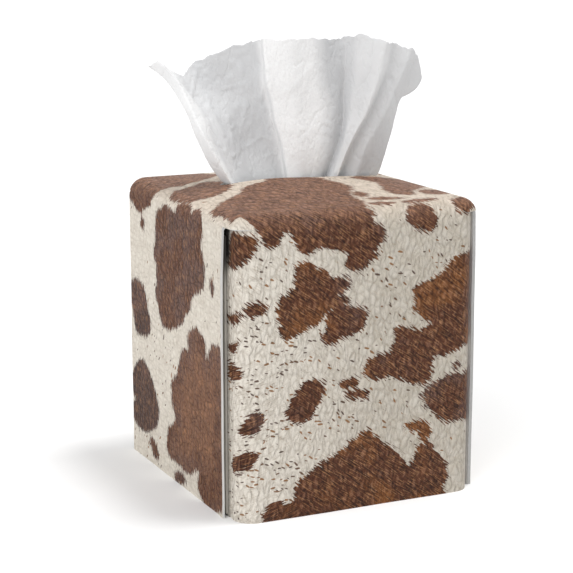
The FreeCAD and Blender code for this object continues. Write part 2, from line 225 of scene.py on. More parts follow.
# The print of the hide, as outlines on the flat sheet in mm from the middle of the top.
# u runs to the right of the front and down the sides, v runs to the back and down the front.
# Each patch has its tone, from dark and purple at 0 or less to ginger at 1.
hidePatches = (
    (0.42, (
        (-20, -10), (-33, -14), (-37, -18), (-40, -24), (-48, -28), (-53, -31), (-58, -38), (-61, -36),
        (-62, -45), (-60, -56), (-63, -62), (-58, -62.5), (-55, -64), (-52, -70), (-50, -73), (-48, -77),
        (-45, -79), (-41, -78), (-39, -74), (-37, -71), (-35, -73), (-33, -78), (-30, -81), (-27, -83),
        (-21, -80), (-17, -80.5), (-11, -84), (-5, -84), (-9, -90), (-6, -93), (2, -92), (4, -89), (6, -84),
        (10, -80), (11.5, -78), (10, -74), (6, -73), (4, -70), (8, -66), (4, -64), (5, -60), (7, -53),
        (5, -45), (9, -38), (11, -34), (14, -29), (12, -24), (10, -18), (6, -8), (-4, 2), (-14, -2),
    )),
    (0.5, ((2.5, -87), (5, -88.5), (9, -87), (8, -85.5), (4, -85.5))),
    (0.62, (
        (-33, -88), (-29, -87), (-24, -89), (-20, -91), (-15, -96), (-10, -95.5), (-6, -98), (-8, -101),
        (-12, -103), (-5, -105.5), (-10, -109), (-17, -110), (-22, -115), (-27, -117), (-36, -120.5),
        (-41, -119), (-40, -113), (-43, -109), (-41, -104), (-37, -100), (-33, -96), (-32, -92),
    )),
    (0.45, (
        (-19, -112), (-15, -108), (-11, -107.5), (-7, -109), (-3, -109.5), (0, -110.5), (4, -113), (1, -116),
        (1, -120), (-8, -122), (-16, -126), (-20, -123), (-17, -116),
    )),
    (0.55, (
        (25, -65), (30, -64), (35, -65), (38, -70), (38, -74), (35, -78), (30, -77), (26, -74), (23, -71),
    )),
    (0.85, (
        (26, -104), (32, -102), (40, -99), (44, -95), (49, -91), (55, -90), (72, -88), (72, -131), (55, -132),
        (48, -135), (44, -137), (38, -135), (36, -140), (37, -146), (33, -149), (27, -148.5), (22, -145),
        (13, -143), (8, -144), (3, -143), (1, -139), (4, -135), (8, -133), (12, -134), (16, -130), (18, -126),
        (16, -121), (22, -121), (28, -123), (33, -124), (38, -121), (33, -118), (29, -116), (27, -112),
        (28, -107),
    )),
    (0.35, (
        (-35, -158), (-32, -160.5), (-28, -160), (-24, -156), (-21, -151), (-19, -147), (-20, -143),
        (-24, -141.5), (-29, -142), (-32, -146), (-36, -152), (-38, -155),
    )),
    (0.25, ((-61, -161), (-57, -164), (-52, -162), (-48, -155), (-52, -152.5), (-56, -156))),
    (0.2, ((-66, -176), (-60, -173), (-55, -171), (-52.5, -173), (-55, -178), (-61, -181), (-66, -181))),
    (0.2, ((-58, -105), (-54, -103), (-50, -103.5), (-47, -105.5), (-51, -108.5), (-56, -109))),
    (0.45, ((-68, -72), (-57, -72), (-53, -74), (-52.5, -78), (-55, -82), (-59, -87), (-70, -90))),
    (0.35, ((-70, -131), (-62, -132), (-59, -135), (-62, -139), (-70, -140))),
    (0.4, ((-70, -110), (-63, -109.5), (-58.5, -108), (-61, -112), (-66, -113.5), (-70, -113))),
    (0.4, ((-70, -124), (-64, -122.5), (-59.5, -119.5), (-62, -124.5), (-68, -127))),
    (0.6, (
        (-12, -178), (-6, -173), (0, -169.5), (4, -168), (10, -174), (17, -179), (22, -185), (26, -189),
        (29, -181), (32, -178), (37, -178), (39, -183), (46, -190), (44, -193), (47, -196), (42, -201),
        (48, -208), (-50, -208), (-48, -199), (-44, -196), (-41, -195), (-37, -198), (-33, -196), (-34, -191),
        (-29, -186), (-22, -182),
    )),
    (0.5, (
        (31, -155), (36, -151), (42, -148), (48, -146), (56, -147), (74, -146), (74, -170), (56, -170),
        (49, -168), (46, -169), (41, -167), (37, -163),
    )),
    (0.75, (
        (23, -168), (28, -166), (33, -167), (37, -171), (36, -175), (32, -176.5), (31, -173), (27, -171),
    )),
    (0.45, ((-11, -144), (-7, -142.5), (-2, -143), (-2, -145.5), (-8, -147))),
    (0.4, ((-8, -149), (-2, -148), (5, -149.5), (2, -152), (-5, -152.5))),
    (0.4, ((48.5, -141), (51, -140.5), (51.5, -143), (49, -143.5))),
    (0.42, (
        (22, -10), (30, -18), (32, -24), (27, -38), (27, -45), (32, -50), (37, -49), (39, -42), (48, -34),
        (55, -26), (66, -22), (66, 2), (58, 4), (50, -4), (40, -6), (32, -6),
    )),
    (0.4, ((42, -42), (47, -40), (52, -37), (58, -36), (62, -42), (56, -49), (48, -51), (43, -49))),
    (0.45, ((8, -41), (12, -39), (15, -43), (13, -48), (9, -47))),
    (0.4, ((9, -50.5), (18, -50.5), (28, -53), (31, -54.5), (22, -55), (12, -53))),
    (0.4, ((7, -58.5), (13, -58), (21, -61), (19, -62.5), (10, -61))),
    (0.45, ((22, -60.5), (32, -58), (43, -59), (42, -61), (30, -62))),
    (0.5, ((49, -62), (56, -60), (66, -58), (70, -64), (58, -70), (50, -70))),
    (0.1, (
        (-126, 14), (-124, 20), (-117, 22), (-112, 26), (-105, 24), (-98, 24), (-92, 28), (-85, 26),
        (-76, 25), (-70, 24), (-69, 18), (-66, 12), (-67, 6), (-69, 0), (-63, -1), (-62, -10), (-62, -16),
        (-66, -19), (-62, -22), (-63, -29), (-67, -32), (-72, -33), (-78, -30), (-87, -36), (-94, -35),
        (-99, -30), (-101, -23), (-104, -19), (-110, -18), (-113, -12), (-119, -7), (-123, 2),
    )),
    (-0.2, (
        (-137, 55), (-130, 56), (-121, 62), (-112, 62), (-109, 54), (-110, 43), (-121, 38), (-130, 33),
        (-134, 38), (-136, 46),
    )),
    (0.35, (
        (-63, 64), (-67, 63), (-75, 48), (-71, 40), (-67, 30), (-63, 30), (-60, 27), (-54, 24), (-51, 20),
        (-47, 22), (-40, 22), (-35, 25), (-28, 31), (-24, 40), (-26, 52), (-24, 64), (-30, 78), (-42, 86),
        (-56, 80),
    )),
    (-0.5, (
        (-186, 48), (-183, 62), (-177, 62), (-171, 57), (-168, 62), (-160, 62), (-152, 53), (-148, 46),
        (-152, 38), (-160, 30), (-168, 24.5), (-173, 25), (-178, 29), (-183, 35),
    )),
    (0.85, (
        (-187, 14), (-180, 12.5), (-174, 12), (-172, 6), (-169, 2), (-165, 2), (-163, 6), (-157, 6),
        (-152, 8), (-148, 3), (-145, -1), (-139, -3), (-134, -5), (-131, -10), (-131, -15), (-122, -14),
        (-120, -20), (-117, -25), (-120, -31), (-122, -35), (-131, -37), (-127, -39), (-122, -42),
        (-120, -47), (-121, -58), (-195, -58), (-199, -46), (-202, -35), (-192, -23), (-186, -28),
        (-185, -24), (-189, -18), (-191, -12), (-189, 8),
    )),
    (-0.1, ((-195, 26), (-189, 28), (-186, 35), (-188, 38), (-192, 35), (-196, 30))),
    (-0.1, ((-198, 5), (-194, 2), (-193, -6), (-195, -10), (-199, -4))),
    (0.2, ((-83, 43), (-80, 46), (-76.5, 44), (-79, 40.5))),
    (0.2, ((-100, -44), (-95, -41.5), (-90, -43), (-94, -46.5))),
    (0.4, (
        (-62, 14), (-50, 13), (-42, 16), (-38, 9), (-36, -3), (-42, -14), (-50, -16), (-56, -15), (-60, -10),
        (-62, -3),
    )),
    (0.3, ((-34, 9), (-28, 9), (-22, 6), (-25, 0), (-30, 0), (-35, 2))),
    # back half of the top and the two walls that the front doesn't show
    (0.45, (
        (-8, 20), (6, 15), (20, 17), (30, 26), (34, 38), (28, 50), (30, 60), (22, 70), (10, 74), (2, 84),
        (-6, 80), (-8, 68), (-14, 58), (-16, 44), (-12, 32),
    )),
    (0.35, ((44, 18), (52, 16), (60, 22), (58, 34), (50, 38), (43, 30))),
    (0.5, ((46, 58), (58, 54), (68, 60), (72, 74), (60, 92), (50, 88), (44, 74))),
    (0.4, (
        (-60, 112), (-48, 106), (-36, 110), (-28, 122), (-30, 136), (-22, 146), (-26, 160), (-40, 164),
        (-52, 156), (-60, 160), (-76, 154), (-76, 120),
    )),
    (0.65, (
        (2, 104), (14, 100), (24, 106), (38, 104), (50, 112), (54, 126), (46, 138), (34, 136), (26, 144),
        (14, 146), (4, 136), (-4, 124), (-4, 112),
    )),
    (0.3, ((-14, 92), (-6, 94), (-4, 101), (-11, 104), (-17, 99))),
    (0.55, (
        (-30, 206), (-26, 192), (-14, 184), (-4, 188), (4, 178), (16, 176), (26, 184), (32, 196), (44, 198),
        (56, 192), (76, 196), (76, 210), (-30, 210),
    )),
    (0.25, ((-54, 180), (-44, 176), (-38, 182), (-42, 192), (-52, 194), (-58, 188))),
    (0.3, ((42, 154), (52, 150), (62, 154), (64, 164), (54, 172), (45, 166))),
    (0.3, ((0, 156), (8, 154), (12, 160), (6, 165), (-1, 162))),
    (0.35, (
        (64, 10), (74, 4), (86, 6), (94, 14), (106, 14), (116, 22), (114, 36), (104, 44), (92, 42), (84, 50),
        (72, 46), (66, 36), (60, 24),
    )),
    (0.6, (
        (90, -62), (86, -50), (92, -40), (102, -34), (114, -36), (122, -28), (134, -30), (142, -40),
        (140, -52), (146, -62), (140, -66), (94, -66),
    )),
    (0.2, (
        (128, 30), (140, 24), (152, 28), (158, 38), (170, 40), (176, 50), (168, 64), (150, 64), (138, 56),
        (132, 44),
    )),
    (0.5, (
        (204, -20), (192, -22), (182, -14), (170, -16), (160, -6), (162, 6), (172, 12), (184, 10), (192, 18),
        (204, 16),
    )),
    (0.3, ((120, -8), (130, -12), (138, -6), (136, 4), (126, 6), (119, 0))),
    (0.3, ((74, -26), (82, -30), (88, -24), (84, -17), (76, -18))),
    (0.3, ((176, -44), (186, -48), (192, -42), (188, -34), (178, -35))),
)

# Places where a patch is darker than the rest of it: u, v, reach in mm, change of tone.
hideShades = ((32, -139, 20, -0.65), (66, -112, 13, -0.5), (-3, -104, 10, -0.5))

# Places where the cream is thick with flecks: u, v, reach in mm, share of flecks.
hideFlecks = (
    (-38, -182, 28, 0.9), (-40, -150, 26, 0.8), (-40, -128, 22, 0.6), (-52, -118, 16, 0.5),
    (-14, -160, 18, 0.45), (14, -100, 16, 0.5), (20, -152, 18, 0.4), (44, -84, 14, 0.4), (-44, -92, 14, 0.35),
    (10, -122, 14, 0.45), (-136, 24, 16, 0.3), (-192, 44, 14, 0.6), (-150, 18, 14, 0.35), (40, 120, 24, 0.5),
    (-10, 172, 22, 0.5), (-140, 25, 22, 0.6), (-184, 44, 18, 0.7), (150, 6, 24, 0.5), (110, -14, 20, 0.4),
    (60, 184, 18, 0.5), (176, 26, 20, 0.5),
)


hide = {
    "spacing": 1.42,          # mm between the points of the sheet
    "edgeRadius": 8.5,
    "cornerRadius": 9.5,
    "crown": 4.6,
    "crownPowers": (3.2, 2, 1.2),
    "lip": (1.5, -18, 26),    # mm that the top stands higher beside the slot, where, and how far that reaches
    "edgeAbove": 0.5,         # mm from the top of the front wall to the start of the rounded edge
    "capDepth": 10.8,         # mm from the flat of the top to the cut above each corner
    "waviness": (0.22, 0.028),    # mm that the walls are out of flat, and waves per mm
    "tuck": (1.1, 0.5),       # mm that a tab sinks behind a raw edge, at the top and at the rim
    "tuckSpan": (1.2, 3.0),   # mm behind the raw edge where it sinks most, and how far that reaches
    "rightTuck": 0.2,         # share of that on the right
    "curl": (0.7, 0.5),       # mm that the left and the right raw edge stand off at the front
    "curlSpan": (14, 20),     # mm back from the raw edge and down from the top that this takes to come in
    "gape": (113, 8),         # mm up where the slits at the corners start to open, and the height that it takes
    "slitDark": (0.36, 0.64),     # how dark the painted shade on the tab in the slit is, and how much darker where it gapes
    "slitSpan": (0.6, 0.8, 1.4),  # mm past the raw edge, more where it gapes, and the soft end of the dark
    "slitFrom": 6,            # mm round the corner where the dark may begin
    "skive": (0.58, 2.5),     # share of the thickness left along the left raw edge, and mm wide
    "slot": (80, 13),
    "sheetSide": 420.0,       # mm for one unit of the sheet's own map
    "patchReach": 14.0,       # mm from a patch to where it is no longer felt
    "plainTone": 0.45,        # where no patch is near
    "plainFlecks": 0.1,
    "spotReach": 1.5,         # times its reach that a shade or a place with flecks fades over
    "fleckCells": 0.42,       # cells per mm, each with one fleck at most
    "fleckHalf": (1.35, 0.44),    # mm, half the length and half the width of a fleck
    "leanings": (2, 14, -42),     # degrees: the sides, low on the left of the front, and elsewhere
    "colours": {
        # brown hair with its painted sheen and glint, and the painted shade in the hollows of its grain
        "dull": (95, 68, 60), "brown": (90, 53, 35), "ginger": (128, 80, 42), "dark": (66, 43, 37),
        "topSheenBrown": (147, 112, 95), "sideGinger": (100, 73, 65), "sideMiddle": (128, 88, 64),
        "streak": (48, 27, 18), "lightHair": (188, 138, 96), "paintedGlint": (182, 138, 110),
        "brownCreaseShade": (110, 96, 88),
        # cream hair, two of each that lie in soft patches; the side and top ones carry the painted light of
        # their faces
        "front": ((203, 196, 185), (196, 188, 175)), "side": ((227, 220, 208), (220, 212, 200)),
        "top": ((222, 208, 193), (214, 200, 184)),
        "frontLeft": (226, 219, 208), "creamHair": (194, 183, 168), "creamCreaseShade": (168, 160, 150),
        "fleck": (66, 41, 29), "gingerFleck": (134, 92, 50), "slit": (34, 31, 29),
    },
}


def roundOutline(points, passes=2):
    # cut the corners of a drawn outline
    outline = np.array(points, float)
    for step in range(passes):
        following = np.roll(outline, -1, axis=0)
        near = outline * 0.75 + following * 0.25
        far = outline * 0.25 + following * 0.75
        outline = np.stack((near, far), axis=1).reshape(-1, 2)
    return outline


def distanceToOutline(spots, outline):
    # negative inside
    ends = np.roll(outline, -1, axis=0)
    nearest = np.full(len(spots), 1e9)
    inside = np.zeros(len(spots), bool)
    for start, end in zip(outline, ends):
        run = end - start
        offset = spots - start
        share = np.clip(offset @ run / max(run @ run, 1e-9), 0, 1)
        nearest = np.minimum(nearest, ((offset - share[:, None] * run) ** 2).sum(1))
        crosses = (start[1] > spots[:, 1]) != (end[1] > spots[:, 1])
        if run[1]:
            inside ^= crosses & (spots[:, 0] < start[0] + run[0] * (spots[:, 1] - start[1]) / run[1])
    return np.sqrt(nearest) * np.where(inside, -1, 1)


def paintPrint(piece, flat):
    # distance to the nearest patch, its tone, and how thick the flecks are
    reach = hide["patchReach"]
    distance = np.full(len(flat), reach)
    tone = np.full(len(flat), hide["plainTone"])
    for patchTone, points in hidePatches:
        outline = roundOutline(points)
        low, high = outline.min(0) - reach, outline.max(0) + reach
        near = np.flatnonzero(((flat > low) & (flat < high)).all(1))
        found = distanceToOutline(flat[near], outline)
        closer = found < distance[near]
        distance[near[closer]] = found[closer]
        tone[near[closer]] = patchTone

    def nearness(u, v, size):
        return np.clip(hide["spotReach"] - np.hypot(flat[:, 0] - u, flat[:, 1] - v) / size, 0, 1)

    for u, v, size, change in hideShades:
        tone += change * nearness(u, v, size)
    plain = hide["plainFlecks"]
    flecks = np.full(len(flat), plain)
    for u, v, size, share in hideFlecks:
        flecks = np.maximum(flecks, plain + share * nearness(u, v, size))
    for name, values in (("patch", distance), ("tone", tone), ("flecks", flecks)):
        writeValues(piece, name, values)


def sheetLines(stops, spacing):
    # lines across the sheet that hit every stop
    lines = [stops[0]]
    for low, high in zip(stops, stops[1:]):
        count = max(1, round((high - low) / spacing))
        lines += list(np.linspace(low, high, count + 1)[1:])
    return np.array(lines)


def crownRise(u, v, halfX, halfY):
    # how far the padded top stands above its flat
    squareX, squareY, fall = hide["crownPowers"]
    acrossX = np.clip(1 - abs(u / halfX) ** squareX, 0, None)
    acrossY = np.clip(1 - (v / halfY) ** squareY, 0, None) ** fall
    rise, ridge, reach = hide["lip"]
    lip = rise * np.exp(-((u - ridge) / reach) ** 2 - (v / reach) ** 2)
    return (hide["crown"] + lip) * acrossX * acrossY


def cutSlot(piece, lengths, level, material, depth=30):
    # the long oval in the top, cut straight down
    cutter = addPrimitive(
        "slotCutter", bpy.ops.mesh.primitive_cylinder_add, vertices=72, radius=0.5, depth=depth * mm,
        location=(0, 0, level * mm)
    )
    cutter.scale = (lengths[0] * mm, lengths[1] * mm, 1)
    bpy.ops.object.transform_apply(location=True, rotation=True, scale=True)
    giveMaterial(cutter, material)
    applyModifier(
        piece, "BOOLEAN", operation="DIFFERENCE", object=cutter, solver="EXACT", material_mode="TRANSFER"
    )
    bpy.data.objects.remove(cutter)


def hideSheet(hideFace, hideBack):
    toMm = 1 / mm
    topHigh, frontHigh = (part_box(name)[1] * toMm for name in ("top_panel", "front_panel"))
    leftLow, leftHigh = (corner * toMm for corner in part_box("left_panel"))
    rightLow, rightHigh = (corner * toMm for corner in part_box("right_panel"))
    skin = leftHigh.x - leftLow.x
    radius, corner, cap = hide["edgeRadius"], hide["cornerRadius"], hide["capDepth"]
    arc = radius * math.pi / 2
    flatX, flatY = topHigh.x - radius, topHigh.y - radius
    level = frontHigh.z + hide["edgeAbove"] + radius     # top edge, before the crown
    arcBase = level - radius
    wrapX, wrapY = frontHigh.x - corner, topHigh.y - corner
    wrapArc = corner * math.pi / 2
    wingEnd = wrapX + wrapArc + (wrapY + frontHigh.y)    # flat reach of a tucked tab
    endU, endV = flatX + arc + arcBase, flatY + arc + arcBase

    right = [0, wrapX, flatX, flatX + cap, wingEnd, endU]
    stopsU = [-stop for stop in right[:0:-1]] + right[1:]
    back = [-leftLow.y, flatY, rightHigh.y, flatY + cap, endV]
    stopsV = [-stop for stop in back[::-1]] + back
    linesU, linesV = sheetLines(stopsU, hide["spacing"]), sheetLines(stopsV, hide["spacing"])

    # the flat sheet, with its lines moved to the folds and cuts
    sheet = addPrimitive(
        "hideCover", bpy.ops.mesh.primitive_grid_add,
        x_subdivisions=len(linesU) - 1, y_subdivisions=len(linesV) - 1, size=2, calc_uvs=True
    )
    places = readPlaces(sheet)
    column = np.rint((places[:, 0] + 1) / 2 * (len(linesU) - 1)).astype(int)
    row = np.rint((places[:, 1] + 1) / 2 * (len(linesV) - 1)).astype(int)
    writePlaces(sheet, np.stack((linesU[column], linesV[row], np.zeros(len(row))), axis=1))

    # cut the cross out of it
    u, v = readValues(sheet.data.polygons, "center", 3).T[:2]
    past = abs(u) - flatX - cap, abs(v) - flatY - cap
    onTop = (past[0] < 0) & (past[1] < 0)
    onLeft = (past[0] > 0) & (u < 0) & (v > leftLow.y) & (v < leftHigh.y)
    onRight = (past[0] > 0) & (u > 0) & (v > rightLow.y) & (v < rightHigh.y)
    onFrontBack = (past[1] > 0) & (abs(u) < wingEnd)
    selectParts(sheet, "polygons", ~(onTop | onLeft | onRight | onFrontBack))
    editMesh(sheet, (bpy.ops.mesh.delete, {"type": "FACE"}))

    # part the corners of the top from the tabs below them
    ends = readValues(sheet.data.edges, "vertices", 2, int)
    flat = readPlaces(sheet)
    first, second = flat[ends[:, 0]], flat[ends[:, 1]]
    cut = (abs(abs(first[:, 1]) - flatY - cap) < tiny) & (abs(first[:, 1] - second[:, 1]) < tiny)
    cut &= np.maximum(abs(first[:, 0]), abs(second[:, 0])) > wrapX + tiny
    selectParts(sheet, "edges", cut)
    editMesh(sheet, (bpy.ops.mesh.edge_split, {"type": "EDGE"}))

    flat = readPlaces(sheet)
    middle = readValues(sheet.data.polygons, "center", 3)
    corners = readValues(sheet.data.polygons, "vertices", 4, int)
    lowered = np.zeros(len(flat), bool)                  # points of the front and back walls
    lowered[corners[abs(middle[:, 1]) > flatY + cap].ravel()] = True
    loops = readValues(sheet.data.loops, "vertex_index", 1, int)[:, 0]
    ownMap = sheet.data.uv_layers[0]
    ownMap.name = "cutSheet"
    ownMap.data.foreach_set("uv", (flat[loops, :2] / hide["sheetSide"] + 0.5).ravel())
    paintPrint(sheet, flat[:, :2])

    # fold it over the box
    u, v = flat[:, 0], flat[:, 1]
    sideU, sideV = np.where(u < 0, -1, 1), np.where(v < 0, -1, 1)
    p, q = abs(u) - flatX, abs(v) - flatY

    def overEdge(run):
        bent = np.clip(run, 0, arc) / radius
        return radius * np.sin(bent), radius * np.cos(bent) - radius - np.clip(run - arc, 0, None)

    outU, dropU = overEdge(p)
    outV, dropV = overEdge(q)
    x = sideU * (np.minimum(abs(u), flatX) + outU)
    y = sideV * (np.minimum(abs(v), flatY) + outV)
    z = level + dropU + dropV
    z += np.where((p < 0) & (q < 0), crownRise(u, v, flatX, flatY), 0)
    sides = (p > cap + tiny) & ~lowered
    y = np.where(sides, v, y)
    z = np.where(sides, level + dropU, z)

    # corners of the top
    rounded = (p > 0) & (q > 0) & ~sides & ~lowered
    turn = np.where(q <= p, q / np.maximum(p, 1e-6), 2 - p / np.maximum(q, 1e-6)) * math.pi / 4
    outR, dropR = overEdge(np.maximum(p, q))
    x = np.where(rounded, sideU * (flatX + outR * np.cos(turn)), x)
    y = np.where(rounded, sideV * (flatY + outR * np.sin(turn)), y)
    z = np.where(rounded, level + dropR, z)

    # front and back turn the corner and go behind the sides
    wing = lowered & (abs(u) > wrapX)
    run = abs(u) - wrapX
    bend = np.clip(run, 0, wrapArc) / corner
    reach = corner - radius + outV
    behind = np.clip(run - wrapArc, 0, None)
    x = np.where(wing, sideU * (wrapX + reach * np.sin(bend)), np.where(lowered, u, x))
    y = np.where(wing, sideV * (wrapY + reach * np.cos(bend) - behind), y)
    z = np.where(lowered, level + dropV, z)

    # the tabs sink a little behind the raw edges, which stand off at the front
    tuckTop, tuckRim = hide["tuck"]
    deepest, tuckReach = hide["tuckSpan"]
    beside = np.where((sideU < 0) & (sideV < 0), -leftLow.y, rightHigh.y)
    high = np.clip(z / level, 0, 1)
    sunk = np.exp(-((abs(y) - beside - deepest) / tuckReach) ** 2) * (tuckRim + (tuckTop - tuckRim) * high)
    x = np.where(wing, x - sideU * sunk * np.where(u < 0, 1, hide["rightTuck"]), x)
    rawEdge = np.where(sideU < 0, leftLow.y, rightLow.y)
    curlBack, curlDown = hide["curlSpan"]
    curled = np.clip((rawEdge + curlBack - v) / curlBack, 0, 1) ** 2 * np.clip((arcBase - z) / curlDown, 0, 1)
    x = np.where(sides, x + sideU * np.where(sideU < 0, *hide["curl"]) * curled, x)

    # painted shade in the slits at the left corners, which open towards the top
    gapeStart, gapeHeight = hide["gape"]
    gape = np.clip((z - gapeStart) / gapeHeight, 0, 1)
    dark, darker = hide["slitDark"]
    pastEdge, wider, softEnd = hide["slitSpan"]
    slitShade = np.clip((beside + pastEdge + wider * gape - abs(y)) / softEnd, 0, 1) * (dark + darker * gape)
    inSlit = wing & (u < 0) & (behind + bend * corner > hide["slitFrom"])
    writeValues(sheet, "slitShade", np.where(inSlit, slitShade, 0))

    # the walls are a little out of flat
    waviness, waves = hide["waviness"]
    places = np.stack((x, y, z), axis=1)
    for index, spot in enumerate(places):
        shift = noise.noise(Vector(spot) * waves) * waviness
        if p[index] > arc and not lowered[index]:
            places[index, 0] += shift * sideU[index]
        if q[index] > arc and abs(u[index]) < wrapX:
            places[index, 1] += shift * sideV[index]
    writePlaces(sheet, places * mm)

    giveMaterial(sheet, hideFace, hideBack)
    thinShare, thinWidth = hide["skive"]
    fullSkin = sheet.vertex_groups.new(name="fullSkin")
    thinned = sides & (sideU < 0) & (v < leftLow.y + thinWidth)
    fullSkin.add(np.flatnonzero(~thinned).tolist(), 1.0, "REPLACE")
    applyModifier(
        sheet, "SOLIDIFY", thickness=skin * mm, offset=-1, material_offset=1, material_offset_rim=1,
        use_even_offset=True, vertex_group="fullSkin", thickness_vertex_group=thinShare
    )
    cutSlot(sheet, hide["slot"], level, hideBack)
    smoothShade(sheet, 50)
    return sheet


def fleckMarks(tree, flat, lean, chance):
    # short strokes at random places that lean with the hair, and how ginger each is
    cells = cellsOf(tree, flat, hide["fleckCells"], flat=True)
    middle = cells.outputs["Position"]
    pick, size, turn = addNode(tree, "ShaderNodeSeparateColor", {"Color": cells.outputs["Color"]}).outputs[:3]
    offset = addNode(tree, "ShaderNodeVectorMath", {0: flat, 1: middle}, operation="SUBTRACT").outputs[0]
    sockets = {"Vector": offset, "Angle": calc(tree, "ADD", lean, offMiddle(tree, turn))}
    turned = addNode(tree, "ShaderNodeVectorRotate", sockets, rotation_type="Z_AXIS").outputs[0]
    along, across = (
        calc(tree, "POWER", calc(tree, "ABSOLUTE", calc(tree, "DIVIDE", run, half)), 2)
        for run, half in zip(axesOf(tree, turned), hide["fleckHalf"])
    )
    grown = calc(tree, "POWER", scaled(tree, size, 0.75, 0.5), 2)
    spot = spread(tree, calc(tree, "DIVIDE", calc(tree, "ADD", along, across), grown), 1.3, 0.5)
    ginger = scaled(tree, size, 0.25, noiseOf(tree, middle, 0.1, 1, flat=True))
    return times(tree, spot, calc(tree, "LESS_THAN", pick, chance)), ginger


def hideFaceMaterial():
    material, tree, shader = newMaterial("hidePrint")
    tints, side = hide["colours"], hide["sheetSide"]
    mapped = addNode(tree, "ShaderNodeUVMap", uv_map="cutSheet").outputs["UV"]
    sockets = {"Vector": mapped, "Scale": (side, side, side), "Location": (-side / 2, -side / 2, 0)}
    flat = addNode(tree, "ShaderNodeMapping", sockets).outputs[0]    # mm from the middle of the top
    patch, tone, thick, slitShade = (attributeOf(tree, name) for name in ("patch", "tone", "flecks", "slitShade"))
    along, up = axesOf(tree, flat)[:2]
    awayU, awayV = calc(tree, "ABSOLUTE", along), calc(tree, "ABSOLUTE", up)
    onSide = times(tree, spread(tree, awayU, 58, 70), spread(tree, awayV, 74, 64))
    onTop = times(tree, spread(tree, awayV, 77, 58), spread(tree, awayU, 70, 58))

    # the hair lies in three leanings: on the sides, low on the left of the front, and elsewhere
    wander = noiseOf(tree, flat, 0.03, 1, flat=True)
    onRight = spread(tree, scaled(tree, wander, 40, along), -24, 2)
    onRight = calc(tree, "MAXIMUM", onRight, spread(tree, up, -134, -112))
    strokes = []
    for turn in hide["leanings"]:
        long = noiseOf(tree, stretched(tree, flat, turn, (7, 0.7, 1)), 0.8, 1, flat=True)
        fine = noiseOf(tree, stretched(tree, flat, turn + 7, (4.2, 0.38, 1)), 0.8, 1, flat=True)
        strokes.append((long, fine))
    hair = []
    for onSides, onLeft, elsewhere in zip(*strokes):
        front = addNode(tree, "ShaderNodeMix", {"Factor": onRight, 2: onLeft, 3: elsewhere}).outputs[0]
        hair.append(addNode(tree, "ShaderNodeMix", {"Factor": onSide, 2: front, 3: onSides}).outputs[0])
    long, fine = hair
    broad = noiseOf(tree, flat, 0.16, 2, flat=True)

    # flecks stand in clumps, and fewer of them on the sides
    clump = spread(tree, noiseOf(tree, flat, 0.09, 2, flat=True), 0.36, 0.62)
    chance = times(tree, thick, scaled(tree, clump, 0.5, 0.12))
    chance = times(tree, chance, scaled(tree, onSide, -0.5, 1.0))
    fleck, ginger = fleckMarks(tree, flat, scaled(tree, onRight, 0.4, 0.15), chance)

    # ragged, hairy outline of the patches
    ragged = patch
    for pattern, reach in ((long, 4.6), (fine, 4.8), (broad, 2.2)):
        ragged = scaled(tree, offMiddle(tree, pattern), reach, ragged)
    inPatch = spread(tree, ragged, 1.0, 0.45)

    # grain: long soft wrinkles over pebbles, smoother on the sides
    sockets = {"Vector": flat, "Scale": 0.14, "Detail": 1.0}
    bent = addNode(tree, "ShaderNodeTexNoise", sockets, noise_dimensions="2D").outputs["Color"]
    sockets = {0: bent, 1: (2.4, 2.4, 0), 2: flat}
    warped = addNode(tree, "ShaderNodeVectorMath", sockets, operation="MULTIPLY_ADD").outputs[0]
    large = cellsOf(tree, stretched(tree, warped, 86, (1.8, 1, 1)), 0.38, "DISTANCE_TO_EDGE", flat=True)
    small = cellsOf(tree, stretched(tree, warped, 72, (1.6, 1, 1)), 1.2, "DISTANCE_TO_EDGE", flat=True)
    dome = spread(tree, large.outputs["Distance"], -0.04, 0.46)
    smallDome = spread(tree, small.outputs["Distance"], 0.0, 0.34)
    wrinkle = noiseOf(tree, stretched(tree, warped, 84, (2.6, 1.0, 1)), 0.3, 1, 0.45, flat=True)
    bulge = spread(tree, calc(tree, "ABSOLUTE", offMiddle(tree, wrinkle)), 0.0, 0.11)
    height = times(tree, dome, 0.6)
    for pattern, share in ((smallDome, 0.2), (bulge, 0.5), (fine, 0.3)):
        height = scaled(tree, pattern, share, height)
    calm = scaled(tree, onSide, -0.35, 1.0)
    height = times(tree, height, calm)
    # painted shade in the creases of the grain, less of it on the top
    creaseShade = times(tree, spread(tree, dome, 0.45, 0.0), scaled(tree, onTop, -0.3, 0.45))
    creaseShade = scaled(tree, spread(tree, smallDome, 0.5, 0.0), 0.15, creaseShade)
    creaseShade = calc(tree, "MULTIPLY_ADD", spread(tree, bulge, 0.5, 0.0), 0.4, creaseShade, clamp=True)

    # brown hair, from dull and purple to ginger, lighter on the top with a painted sheen
    shift = noiseOf(tree, flat, 0.05, 2, flat=True)
    shift = scaled(tree, offMiddle(tree, shift), 1.7, tone)
    brown = tinted(tree, tints["dull"], shift, -0.05, 0.3, tints["brown"])
    brown = tinted(tree, brown, shift, 0.5, 1.05, tints["ginger"])
    brown = tinted(tree, brown, shift, 0.0, -0.5, tints["dark"])
    # a painted sheen lightens the brown on the top
    brown = mixColour(tree, times(tree, onTop, 0.75), brown, tints["topSheenBrown"])
    pinkish = times(tree, onSide, spread(tree, shift, 0.45, 1.0))
    brown = mixColour(tree, times(tree, pinkish, 0.9), brown, tints["sideGinger"])
    brown = mixColour(tree, times(tree, pinkish, spread(tree, patch, -2, -13)), brown, tints["sideMiddle"])
    streak = mixColour(tree, scaled(tree, onSide, -0.35, 0.78), brown, tints["streak"])
    brown = tinted(tree, brown, long, 0.45, 0.7, streak)
    brown = tinted(tree, brown, fine, 0.52, 0.74, mixColour(tree, 0.55, brown, tints["lightHair"]))
